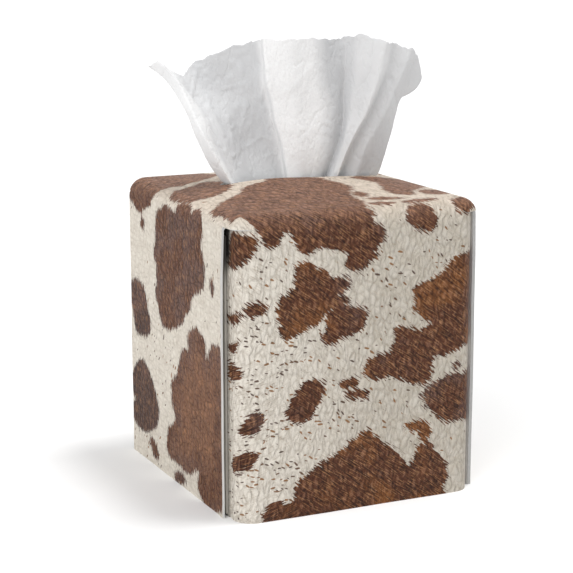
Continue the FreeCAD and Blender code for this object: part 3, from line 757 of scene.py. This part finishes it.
    # painted glints on the raised grain, stronger on the top
    paintedGlint = times(tree, spread(tree, height, 0.9, 1.5), scaled(tree, onTop, 0.15, 0.24))
    brown = mixColour(tree, paintedGlint, brown, tints["paintedGlint"])
    # painted shade in the creases of the brown
    brown = mixColour(tree, times(tree, creaseShade, 0.68), brown, tints["brownCreaseShade"], "MULTIPLY")

    # cream hair with flecks of single hairs, with each face's painted light: paler on the sides and warmer on
    # the top
    patchy = spread(tree, broad, 0.3, 0.7)
    front, sides, top = (mixColour(tree, patchy, *tints[name]) for name in ("front", "side", "top"))
    cream = tinted(tree, front, along, 24, -56, tints["frontLeft"])
    cream = mixColour(tree, onTop, mixColour(tree, onSide, cream, sides), top)
    cream = tinted(tree, cream, fine, 0.56, 0.8, tints["creamHair"])
    # painted shade in the cream where the grain is low and in its creases
    creamShade = scaled(tree, spread(tree, height, 1.25, 0.45), 0.16, times(tree, creaseShade, 0.36))
    cream = mixColour(tree, times(tree, creamShade, calm), cream, tints["creamCreaseShade"], "MULTIPLY")
    fleckColour = tinted(tree, tints["fleck"], ginger, 0.56, 0.76, tints["gingerFleck"])
    cream = mixColour(tree, times(tree, fleck, 0.92), cream, fleckColour)

    colour = mixColour(tree, inPatch, cream, brown)
    # painted shade in the slits
    colour = mixColour(tree, slitShade, colour, tints["slit"])
    sockets = {"Value": height, "From Min": 0.2, "From Max": 1.6, "To Min": 0.66, "To Max": 0.5}
    rough = addNode(tree, "ShaderNodeMapRange", sockets).outputs["Result"]
    dress(tree, shader, colour, height, 0.9, 0.00068, rough, specular=0.2)
    return material


def hideBackMaterial():
    material, tree, shader = newMaterial("hideBacking")
    place = inMillimetres(tree)
    weave = noiseOf(tree, stretched(tree, place, 0, (1, 1, 4)), 2.2, 3)
    colour = tinted(tree, (138, 137, 135), weave, 0.3, 0.7, (164, 163, 161))
    colour = tinted(tree, colour, noiseOf(tree, place, 0.12, 2), 0.4, 0.7, (148, 146, 142))
    # painted light: paler on the left for the left raw edge, and palest inside the raw edge on the right to
    # light its dark crevice
    across, along = axesOf(tree, place)[:2]
    colour = mixColour(tree, times(tree, spread(tree, across, 10, -10), 0.8), colour, (222, 222, 220))
    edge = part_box("right_panel")[0].y / mm
    inside = scaled(tree, spread(tree, along, edge + 0.1, edge + 0.5), 0.8, 0.2)
    colour = mixColour(tree, times(tree, spread(tree, across, 50, 58), inside), colour, (250, 250, 250))
    dress(tree, shader, colour, weave, 0.4, 0.0002, 0.9, specular=0.2)
    return material


hideCover = hideSheet(hideFaceMaterial(), hideBackMaterial())
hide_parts("top_panel", "front_panel", "back_panel", "left_panel", "right_panel")
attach(hideCover, "cover")
print("hide cover folded:", len(hideCover.data.polygons), "faces")


tissue = {
    "flat": (200, 210),       # mm, as cut; the lower half is still folded in the carton
    "standing": 0.0142,       # square metres of it that stand out of the stack
    "steps": 14,              # columns in each fold
    "rows": 104,
    "thickness": 0.12,
    "tailBottom": 118.2,
    "tailHalf": (33, 2.4),
    "throat": 141.0,          # where it passes the slot
    "slotRoom": (3, 0.96, 0.8),   # mm clear of its ends, and shares of its length and width
    "levels": (0.0, 0.2, 0.25, 0.36, 0.49, 0.63, 0.8, 1.0),   # share of the rows at each point of a fold
    "lobe": (1.6, 0, -2.0),   # mm that the right end hangs over
    "easing": 6,
    "wobble": 1.3,            # mm that the folds wander
    "wobbleSpan": (148, 20),  # mm up where that starts, and the height that it takes
    "liftSpan": (146, 14),    # the same for creases and crumple
    "creaseReach": 1.5,
    "crumpleSize": (200, 110),    # mm of paper that the crumple is laid out on
    "seed": 7,                # of the crumple's bends; at 0 they would change from run to run
    "raggedFrom": 0.85,       # share of the height where the uneven edge starts
    "shadeTurn": 0.55,        # share of a fold where its shade turns to the next one's
}

# Folds of the standing tissue from left to right: how light its painted shade is from there to the next fold,
# how crumpled, then its run from the slot to the top edge in mm.
tissueFolds = (
    (0.75, 0.2, (
        (-37.5, 4, 144.5), (-42.5, 6, 152), (-48, 9, 164.5), (-51, 13, 176), (-58, 22, 190.5),
        (-65, 27, 197.5),
    )),
    (0.85, 0.3, (
        (-36.5, -4, 145), (-42, -2, 155.5), (-46.5, 1, 166), (-50, 6, 175), (-55, 16, 192.5),
        (-62, 22, 200.5),
    )),
    (0.4, 0.6, (
        (-33, 0, 145), (-36.5, 3, 154.5), (-39.5, 6, 163), (-42, 10, 173), (-48, 17, 184.5), (-50, 21, 192.5),
    )),
    (0.25, 0.9, (
        (-29, 1, 145), (-31.5, 4, 154), (-34, 7, 163.5), (-36.5, 11, 174.5), (-41.5, 18, 186.5),
        (-43, 24, 199),
    )),
    (0.25, 1.0, (
        (-22, 3, 144.5), (-24, 6, 153.5), (-24, 10, 162.5), (-25, 13, 174.5), (-27.5, 17, 188),
        (-32.5, 19, 203.5),
    )),
    (0.25, 1.0, (
        (-14, 2, 144.5), (-14.5, 5, 153), (-14.5, 8, 163.5), (-16, 10, 175.5), (-18, 13, 191.5),
        (-20, 15, 208.5),
    )),
    (0.7, 0.5, (
        (-5.5, 2, 144), (-6.3, 4, 153), (-7.8, 6, 164), (-10.2, 8, 177), (-13.6, 9, 193.5), (-15, 9, 209.5),
    )),
    (1.0, 0.3, (
        (-6, -2, 145), (-6.5, 0, 154.5), (-8, 2, 165), (-10.5, 4, 178), (-14, 5, 194.5), (-15.5, 5, 210.6),
    )),
    (0.9, 0.2, (
        (1.5, -4, 144.5), (0.5, -4, 154.5), (-0.5, -3, 165.5), (-1, -2, 178), (-2.5, -2, 195),
        (-3.5, -2, 210.3),
    )),
    (0.15, 0.2, (
        (12, -3, 144), (15, -3, 153.5), (17.5, -2, 165.5), (19, -1, 179), (16, -1, 195), (14, -1, 210.6),
    )),
    (0.25, 0.3, (
        (15, 0, 143), (19, 0, 152.5), (23.5, 1, 164.5), (25.5, 2, 178), (27, 3, 193.5), (26.5, 4, 209.7),
    )),
    (0.45, 0.2, (
        (16.5, -4, 143.5), (20.5, -4, 153), (24, -4, 165.5), (28, -3, 178.5), (30.5, -3, 194),
        (31.5, -3, 212.5),
    )),
    (0.6, 0.2, (
        (19, -5, 143.5), (22.5, -6, 153.5), (28, -7, 164.5), (34.5, -9, 177.5), (39, -10, 192),
        (42.5, -11, 207.7),
    )),
    (0.35, 0.4, (
        (22.5, 0, 142.5), (26, -1, 152.5), (31, -2, 163), (38.5, -3, 176), (44.5, -4, 190.5), (49, -5, 207),
    )),
    (0.35, 0.4, (
        (29.5, -4, 143.5), (33.5, -4, 153), (39, -5, 163.5), (46, -6, 176.5), (52.5, -7, 190.5),
        (57.5, -8, 204),
    )),
    (0.35, 0.3, (
        (37, 0, 142.7), (41, 0, 151.8), (45, -1, 161.5), (50, -2, 174), (55.5, -3, 186), (62.5, -5, 199.5),
    )),
    (0.35, 0.2, (
        (44.5, 3, 142), (48, 2, 150.5), (50.5, 1, 160.5), (54, 0, 172), (56.5, -1, 180.5), (65.5, -3, 191),
    )),
)

# Creases: how far each stands out in mm, then its run across and up.
tissueCreases = (
    (1.0, ((-41.5, 197), (-44, 190.5), (-47, 184.5))),
    (1.0, ((-38.5, 183), (-40, 179), (-37.5, 173), (-34.5, 165.5))),
    (0.8, ((-31, 173.5), (-30.5, 168), (-30, 159.5))),
    (0.6, ((-31.5, 186.5), (-23.5, 188), (-18, 190.5), (-13, 197))),
    (0.7, ((-21, 179), (-22.5, 172), (-24.5, 166))),
    (1.0, ((-19.5, 187), (-15, 181), (-12, 174), (-8.5, 166))),
    (0.6, ((-32.5, 155), (-25.5, 158.5), (-18.5, 161.5), (-15, 164))),
    (0.6, ((-15, 164), (-10.5, 162), (-6.5, 157))),
    (0.7, ((-12.5, 192.5), (-12, 188), (-14.5, 182))),
    (0.7, ((-26, 199), (-23.5, 197), (-21.5, 192.5))),
    (0.4, ((-8, 184), (-1.5, 189.5), (7, 197.5))),
    (0.5, ((-21.5, 151), (-16, 154), (-8.5, 156.5))),
    (-0.9, ((47.5, 190.5), (50, 183.5), (53, 176.5))),
    (-0.6, ((32.5, 163.5), (29.5, 156.5), (27, 148))),
    (-0.5, ((38, 161), (35.5, 154), (33.5, 145.5))),
)


def distanceToRun(spots, run):
    nearest = np.full(len(spots), 1e9)
    for start, end in zip(np.array(run[:-1], float), np.array(run[1:], float)):
        way = end - start
        share = np.clip((spots - start) @ way / (way @ way), 0, 1)
        nearest = np.minimum(nearest, np.hypot(*(spots - start - share[:, None] * way).T))
    return nearest


def noiseAt(*place):
    return noise.noise(Vector(place))


def tissueSheet(paper):
    folds = len(tissueFolds) - 1
    columns, rows = folds * tissue["steps"], tissue["rows"]
    sheet = addPrimitive(
        "standingTissue", bpy.ops.mesh.primitive_grid_add, x_subdivisions=columns, y_subdivisions=rows, size=2,
        calc_uvs=True
    )
    flat = (readPlaces(sheet)[:, :2] + 1) / 2

    # the net of the folds: their tails in the carton, where they pass the slot, and their runs above it
    tailX, tailY = tissue["tailHalf"]
    slotX, slotY = hide["slot"][0] / 2, hide["slot"][1] / 2
    margin, shareX, shareY = tissue["slotRoom"]
    lights, crumples, runs = zip(*tissueFolds)
    net = []
    for run in runs:
        x, y = run[0][:2]
        inSlot = np.clip(x, margin - slotX, slotX - margin) * shareX
        room = slotY * math.sqrt(1 - (inSlot / slotX) ** 2) * shareY
        tail = (np.clip(x, -tailX, tailX), np.clip(y, -tailY, tailY), tissue["tailBottom"])
        net.append((tail, (inSlot, np.clip(y, -room, room), tissue["throat"])) + run)
    net = np.array(net, float)
    levels = np.array(tissue["levels"])
    last = len(levels) - 1
    place = flat[:, 0] * folds
    fold = np.clip(place.astype(int), 0, folds - 1)
    across = (place - fold)[:, None]
    step = np.clip(np.searchsorted(levels, flat[:, 1], side="right") - 1, 0, last - 1)
    part = ((flat[:, 1] - levels[step]) / (levels[step + 1] - levels[step]))[:, None]
    before, after = np.maximum(step - 1, 0), np.minimum(step + 2, last)

    def onFold(index):
        # smooth curve through the levels of a fold
        a, b, c, d = net[index, before], net[index, step], net[index, step + 1], net[index, after]
        bow = a - 2.5 * b + 2 * c - d / 2
        return b + part * (c - a) / 2 + part ** 2 * bow + part ** 3 * (1.5 * (b - c) + (d - a) / 2)

    places = onFold(fold) * (1 - across) + onFold(fold + 1) * across
    lobe = ((fold == folds - 1) & (step == last - 1))[:, None] * np.sin(part * math.pi) * across
    places += lobe * np.array(tissue["lobe"])
    grid = places.reshape(rows + 1, columns + 1, 3)
    for turn in range(tissue["easing"]):
        # ease each fold over its neighbours
        grid[:, 1:-1] = grid[:, 1:-1] * 0.5 + (grid[:, :-2] + grid[:, 2:]) * 0.25
    places = grid.reshape(-1, 3)
    wobble = np.array([noiseAt(side * 9, high * 0.07, 1.5) for side, high in zip(flat[:, 0], places[:, 2])])
    freeFrom, freeOver = tissue["wobbleSpan"]
    places[:, 0] += wobble * tissue["wobble"] * np.clip((places[:, 2] - freeFrom) / freeOver, 0, 1)
    writePlaces(sheet, places * mm)
    normals = readValues(sheet.data.vertices, "normal", 3)

    # creases, and the softer crumple of the paper between them
    liftFrom, liftOver = tissue["liftSpan"]
    lift = np.clip((places[:, 2] - liftFrom) / liftOver, 0, 1)
    raised = np.zeros(len(places))
    for height, run in tissueCreases:
        raised += height * np.clip(1 - distanceToRun(places[:, ::2], run) / tissue["creaseReach"], 0, 1)
    light, creased = np.array(lights), np.array(crumples)
    loose = creased[fold] * (1 - across[:, 0]) + creased[fold + 1] * across[:, 0]
    front = (fold < 6) | ((places[:, 1] < 20) & (fold > 6))      # creases stay off the middle and the far folds
    wide, tall = tissue["crumpleSize"]
    noise.seed_set(tissue["seed"])
    for index, (side, up) in enumerate(flat):
        spot = Vector((side * wide, up * tall, 3.0))
        bend = noise.noise_vector(spot * 0.03) * 6
        cell = noise.voronoi(Vector((spot.x + bend.x, (spot.y + bend.y) * 0.7, 0)) * 0.09)[0]
        finer = noise.voronoi(Vector((spot.x - bend.y, (spot.y + bend.x) * 0.8, 5)) * 0.2)[0]
        raised[index] = 0.6 * raised[index] * front[index] + loose[index] * (
            (cell[1] - cell[0]) * 0.7 + (finer[1] - finer[0]) * 0.6 + noise.noise(spot * 0.045) * 0.9 - 0.45
        )
    places = places + normals * (raised * lift)[:, None]

    # uneven top edge
    ripple = [noiseAt(side * 34, 0.5, 7) * 1.2 + noiseAt(side * 95, 2.5, 3) * 0.8 for side in flat[:, 0]]
    ragged = tissue["raggedFrom"]
    places[:, 2] += np.array(ripple) * np.clip((flat[:, 1] - ragged) / (1 - ragged), 0, 1)
    writePlaces(sheet, places * mm)

    # each fold's painted shade, turning to the next one's across it
    turnFrom = tissue["shadeTurn"]
    share = np.clip((across[:, 0] - turnFrom) / (1 - turnFrom), 0, 1)
    writeValues(sheet, "foldShade", light[fold] + (light[fold + 1] - light[fold]) * share)
    giveMaterial(sheet, paper)
    applyModifier(sheet, "SOLIDIFY", thickness=tissue["thickness"] * mm, offset=0)
    smoothShade(sheet, 180)
    return sheet


def tissueMaterial():
    material, tree, shader = newMaterial("tissuePaper")
    place = inMillimetres(tree)
    fibre = noiseOf(tree, place, 1.1, 3)
    cloud = noiseOf(tree, place, 0.05, 2)
    # the painted shade of each fold, with soft clouds through it
    thick = scaled(tree, offMiddle(tree, cloud), 0.35, attributeOf(tree, "foldShade"))
    colour = mixColour(tree, spread(tree, thick, 0.0, 1.0, smooth=False), (190, 191, 193), (241, 241, 241))
    colour = mixColour(tree, times(tree, spread(tree, fibre, 0.4, 0.75), 0.25), colour, (214, 214, 215))
    # faint crinkles over the fibres
    crinkle = noiseOf(tree, stretched(tree, place, 0, (1, 1, 1.8)), 0.16, 3)
    crinkle = spread(tree, calc(tree, "ABSOLUTE", offMiddle(tree, crinkle)), 0.0, 0.09)
    height = scaled(tree, crinkle, 3.0, fibre)
    dress(tree, shader, colour, height, 0.3, 0.0002, 0.9, specular=0.12, sheen=0.08)
    return material


tissuePaper = tissueMaterial()
standingTissue = tissueSheet(tissuePaper)
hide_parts("tissue_sheet")
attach(standingTissue, "tissue")
print("tissue gathered:", len(standingTissue.data.polygons), "faces")


topPad = {
    "clearance": 0.15,        # mm under the leather
    "lift": 1,                # mm that the upper face is drawn up before it is crowned
    "overhang": 1,            # mm past its edge that the crown runs out
    "slot": (83, 16),
    "spacing": 2.4,
}


def crownedPad(foam):
    low, high = (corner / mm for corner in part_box("top_pad"))
    wide, deep = high.x - low.x, high.y - low.y
    lift, past = topPad["lift"], topPad["overhang"]
    pad = addPrimitive(
        "topPad", bpy.ops.mesh.primitive_grid_add, size=2,
        x_subdivisions=round(wide / topPad["spacing"]), y_subdivisions=round(deep / topPad["spacing"])
    )
    places = readPlaces(pad) * (wide / 2, deep / 2, 1) + (0, 0, low.z)
    writePlaces(pad, places * mm)
    selectParts(pad, "polygons", np.ones(len(pad.data.polygons), bool))
    editMesh(
        pad, (bpy.ops.mesh.extrude_region_move, {"TRANSFORM_OT_translate": {"value": (0, 0, lift * mm)}}),
        (bpy.ops.mesh.select_all, {"action": "SELECT"}),
        (bpy.ops.mesh.normals_make_consistent, {"inside": False})
    )
    places = readPlaces(pad) / mm
    upper = places[:, 2] > low.z + lift / 2
    puff = crownRise(places[:, 0], places[:, 1], wide / 2 + past, deep / 2 + past) - topPad["clearance"]
    places[:, 2] += np.where(upper, puff, 0)
    writePlaces(pad, places * mm)
    giveMaterial(pad, foam)
    cutSlot(pad, topPad["slot"], high.z, foam)
    smoothShade(pad, 40)
    return pad


def foamMaterial():
    material, tree, shader = newMaterial("openFoam")
    place = inMillimetres(tree)
    pores = cellsOf(tree, place, 1.6).outputs["Distance"]
    colour = tinted(tree, (188, 182, 166), pores, 0.1, 0.5, (228, 224, 212))
    colour = tinted(tree, colour, noiseOf(tree, place, 0.2, 2), 0.4, 0.7, (216, 209, 190))
    dress(tree, shader, colour, pores, 0.6, 0.0004, 0.95)
    return material


crownPad = crownedPad(foamMaterial())
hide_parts("top_pad")
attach(crownPad, "cover")
print("top padded")


stack = {
    "leaves": 58,
    "inset": 0.9,             # mm that a leaf stays inside the stack's outline
    "drift": 0.8,             # mm that a leaf lies out of line
    "twist": 0.002,           # radians that a leaf is turned
    "body": 0.96,             # share of the pitch that a leaf takes up
    "round": 0.75,            # share of half a leaf's thickness that its fold rounds off
    "seed": 7,
}


def foldedStack(paper):
    low, high = (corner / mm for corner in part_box("tissue_stack"))
    leaves = stack["leaves"]
    pitch = (high.z - low.z) / leaves
    wide, deep = (high.x - low.x - 2 * stack["inset"]), (high.y - low.y - 2 * stack["inset"])
    pile = addPrimitive(
        "foldedStack", bpy.ops.mesh.primitive_cube_add, size=1, location=(0, 0, (low.z + pitch / 2) * mm),
        scale=(wide * mm, deep * mm, pitch * stack["body"] * mm)
    )
    bpy.ops.object.transform_apply(location=True, rotation=True, scale=True)
    editMesh(
        pile, (bpy.ops.mesh.select_all, {"action": "SELECT"}),
        (bpy.ops.mesh.bevel, {"offset": pitch / 2 * stack["round"] * mm, "segments": 2, "affect": "EDGES"})
    )
    leafPoints = len(pile.data.vertices)
    applyModifier(
        pile, "ARRAY", count=leaves, use_relative_offset=False, use_constant_offset=True,
        constant_offset_displace=(0, 0, pitch * mm)
    )
    places = readPlaces(pile).reshape(-1, leafPoints, 3)
    chance = np.random.default_rng(stack["seed"])
    drift = chance.uniform(-1, 1, (leaves, 1, 2)) * stack["drift"] * mm
    twist = chance.uniform(-1, 1, (leaves, 1)) * stack["twist"]
    turned = places[:, :, :2] + np.stack((-places[:, :, 1] * twist, places[:, :, 0] * twist), axis=2)
    limit = np.array((high.x, high.y)) * mm
    places[:, :, :2] = np.clip(turned + drift, -limit, limit)
    writePlaces(pile, places.reshape(-1, 3))
    giveMaterial(pile, paper)
    smoothShade(pile, 40)
    return pile


tissueStack = foldedStack(tissuePaper)
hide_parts("tissue_stack")
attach(tissueStack, "refill")
print("leaves stacked")


def boardMaterial():
    material, tree, shader = newMaterial("greyBoard")
    place = inMillimetres(tree)
    fibre = noiseOf(tree, stretched(tree, place, 20, (3, 1, 3)), 1.3, 3)
    chips = cellsOf(tree, place, 0.5).outputs["Color"]
    chip = addNode(tree, "ShaderNodeSeparateColor", {"Color": chips}).outputs[0]
    colour = tinted(tree, (150, 146, 138), fibre, 0.3, 0.7, (178, 174, 166))
    colour = tinted(tree, colour, chip, 0.9, 1.0, (112, 106, 98))
    dress(tree, shader, colour, fibre, 0.4, 0.0003, 0.92, specular=0.2)
    return material


def liningMaterial():
    material, tree, shader = newMaterial("blackLining")
    place = inMillimetres(tree)
    points = cellsOf(tree, place, 0.75, randomness=0.1).outputs["Distance"]
    fibre = noiseOf(tree, place, 2.6, 3)
    colour = tinted(tree, (26, 24, 23), fibre, 0.3, 0.7, (46, 43, 41))
    colour = tinted(tree, colour, points, 0.34, 0.2, (20, 19, 18))
    height = scaled(tree, spread(tree, points, 0.2, 0.45), 0.8, fibre)
    dress(tree, shader, colour, height, 0.6, 0.0003, 0.88, sheen=0.15)
    return material


def tapeMaterial():
    material, tree, shader = newMaterial("tissueTape")
    place = inMillimetres(tree)
    fibre = noiseOf(tree, stretched(tree, place, 0, (1, 1, 6)), 2.0, 3)
    colour = tinted(tree, (224, 220, 206), fibre, 0.35, 0.7, (240, 238, 228))
    # painted shade along the edge that shows in the slits, darker towards the top
    axes = axesOf(tree, place)
    tapeSlitShade = tinted(tree, (172, 168, 161), axes[2], 106, 119, (60, 57, 54))
    far = -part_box("front_left_tape")[0].y / mm
    colour = tinted(tree, colour, calc(tree, "ABSOLUTE", axes[1]), far - 1.2, far - 0.3, tapeSlitShade)
    dress(tree, shader, colour, fibre, 0.3, 0.0001, 0.5)
    return material


def cartonMaterial():
    material, tree, shader = newMaterial("plainCarton")
    place = inMillimetres(tree)
    fibre = noiseOf(tree, stretched(tree, place, 0, (1, 1, 3)), 1.6, 3)
    cloud = noiseOf(tree, place, 0.05, 2)
    colour = tinted(tree, (232, 231, 227), cloud, 0.35, 0.7, (224, 222, 216))
    colour = tinted(tree, colour, fibre, 0.5, 0.8, (214, 211, 203))
    # rubbed grey along the upright and upper edges
    axes = axesOf(tree, place)
    sideX, sideY = (spread(tree, calc(tree, "ABSOLUTE", axis), 55.6, 57.0) for axis in axes[:2])
    rim = times(tree, spread(tree, axes[2], 125.6, 127.0), calc(tree, "MAXIMUM", sideX, sideY))
    edge = calc(tree, "MAXIMUM", times(tree, sideX, sideY), rim)
    worn = times(tree, edge, spread(tree, noiseOf(tree, place, 0.3, 3), 0.35, 0.65))
    colour = mixColour(tree, times(tree, worn, 0.7), colour, (176, 170, 160))
    dress(tree, shader, colour, fibre, 0.2, 0.0002, 0.6, specular=0.35)
    return material


def filmMaterial():
    material, tree, shader = newMaterial("clearFilm")
    ripple = noiseOf(tree, stretched(tree, inMillimetres(tree), 30, (4, 1, 1)), 0.12, 2)
    colour = tinted(tree, (226, 230, 232), ripple, 0.3, 0.7, (240, 243, 244))
    dress(tree, shader, colour, ripple, 0.5, 0.002, 0.12, alpha=0.35)
    return material


# the rest of the object keeps its own shapes
walls = ("top", "front", "back", "left", "right")
plainPieces = (
    (boardMaterial(), [f"{wall}_board" for wall in walls]),
    (liningMaterial(), [f"{wall}_lining" for wall in walls]),
    (tapeMaterial(), ("front_left_tape", "front_right_tape", "back_left_tape", "back_right_tape")),
    (cartonMaterial(), ("carton",)),
    (filmMaterial(), ("dispenser_film",)),
)
for finish, names in plainPieces:
    for name in names:
        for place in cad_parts[name].material_slots:
            place.material = finish
print("boards, lining and carton finished")


studio = {
    "lens": 109.03,
    "sensor": 36,
    "camera": (-0.35622, -0.7426, 0.26715),
    "azimuth": -25.28,
    "elevation": 12.072,
    "worldLevel": 0.6,
    "floor": 0.9,
    "floorGlow": 0.06,        # seen by the camera only, so that the far floor reads as white
    # each soft lamp: where it stands, strength, spread in degrees
    "lamps": (((-0.72, -0.42, 0.55), 1.25, 45), ((0.28, -0.1, 0.95), 1.4, 16)),
}


def setCamera():
    turn, tilt = math.radians(studio["azimuth"]), math.radians(studio["elevation"])
    lens = bpy.data.cameras.new("photoView")
    lens.lens = studio["lens"]
    lens.sensor_width = studio["sensor"]
    lens.clip_end = 100
    camera = bpy.data.objects.new("photoView", lens)
    camera.location = studio["camera"]
    camera.rotation_euler = (math.pi / 2 - tilt, 0, turn)
    bpy.context.scene.collection.objects.link(camera)
    bpy.context.scene.camera = camera


def cameraRays(tree):
    path = addNode(tree, "ShaderNodeLightPath").outputs
    seen = calc(tree, "MAXIMUM", path["Is Camera Ray"], path["Is Glossy Ray"])
    return calc(tree, "MAXIMUM", seen, path["Is Transmission Ray"])


def setLight():
    world = bpy.data.worlds.new("paleStudio")
    bpy.context.scene.world = world
    world.use_nodes = True
    tree = world.node_tree
    tree.nodes.clear()
    light, seen = (
        addNode(tree, "ShaderNodeBackground", {"Color": (1, 1, 1, 1), "Strength": strength}).outputs[0]
        for strength in (studio["worldLevel"], 1.0)
    )
    blend = addNode(tree, "ShaderNodeMixShader", {0: cameraRays(tree), 1: light, 2: seen}).outputs[0]
    addNode(tree, "ShaderNodeOutputWorld", {0: blend})

    for number, (place, strength, width) in enumerate(studio["lamps"]):
        lamp = bpy.data.lights.new(f"softLamp{number}", "SUN")
        lamp.energy = strength
        lamp.angle = math.radians(width)
        stand = bpy.data.objects.new(f"softLamp{number}", lamp)
        stand.location = place
        stand.rotation_euler = Vector(place).to_track_quat("Z", "Y").to_euler()
        bpy.context.scene.collection.objects.link(stand)


def setFloor():
    floor = addPrimitive("floor", bpy.ops.mesh.primitive_plane_add, size=60)
    material, tree, shader = newMaterial("paleFloor")
    pale = studio["floor"]
    fillSockets(tree, shader, {
        "Base Color": (pale, pale, pale, 1), "Roughness": 0.95, "Specular IOR Level": 0.0,
        "Emission Color": (1, 1, 1, 1), "Emission Strength": times(tree, cameraRays(tree), studio["floorGlow"])
    })
    giveMaterial(floor, material)


setCamera()
setLight()
setFloor()
bpy.context.scene.view_settings.view_transform = "Standard"
print("studio set")
